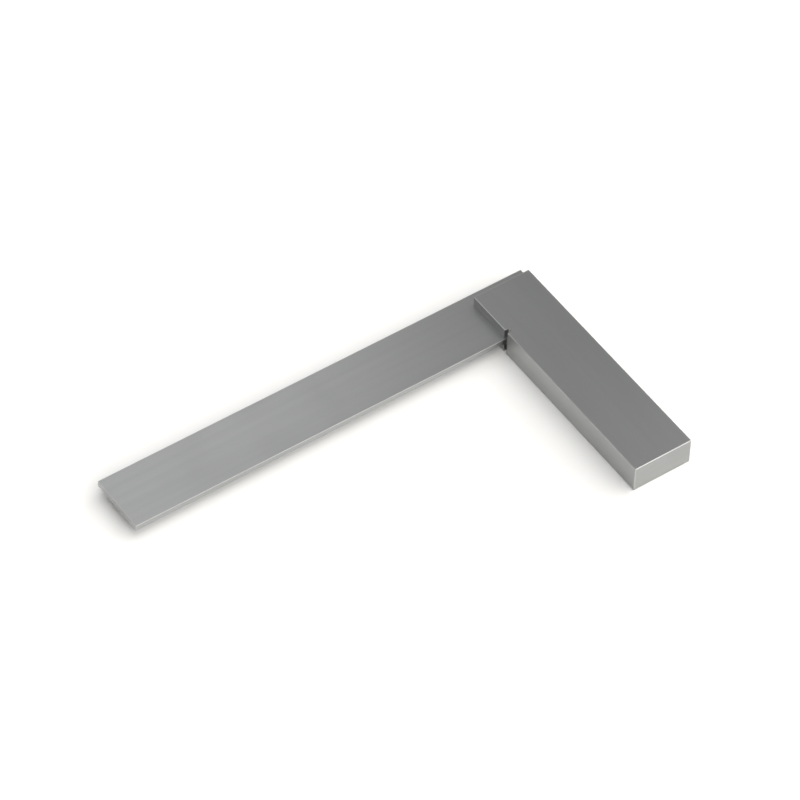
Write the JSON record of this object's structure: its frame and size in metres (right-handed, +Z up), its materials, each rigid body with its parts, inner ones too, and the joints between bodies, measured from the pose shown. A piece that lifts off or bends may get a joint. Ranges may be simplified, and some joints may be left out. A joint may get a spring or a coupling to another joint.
{
  "type": "engineer's square",
  "caption": "Steel square for marking out: a thin flat ground blade pinned at a right angle into a slotted thick stock, with a narrow relief groove in the inner corner.",
  "frame": {"origin": "under the middle of the whole square's outline, on the plane that the stock's lower broad face lies on", "axes": "+X along the blade from the stock to the blade's tip, +Y along the stock from its slotted end to its tail, +Z up through the thickness of the stock"},
  "size_m": [0.185, 0.1048, 0.0115],
  "materials": {
    "stock_steel": "satin, surface ground along its length",
    "blade_steel": "fine satin, surface ground along its length",
    "pin_steel": "ground flush with the stock"
  },
  "bodies": {
    "root": {"stock": "stock_steel", "blade": "blade_steel", "pin_1": "pin_steel", "pin_2": "pin_steel", "pin_3": "pin_steel"}
  },
  "joints": []
}
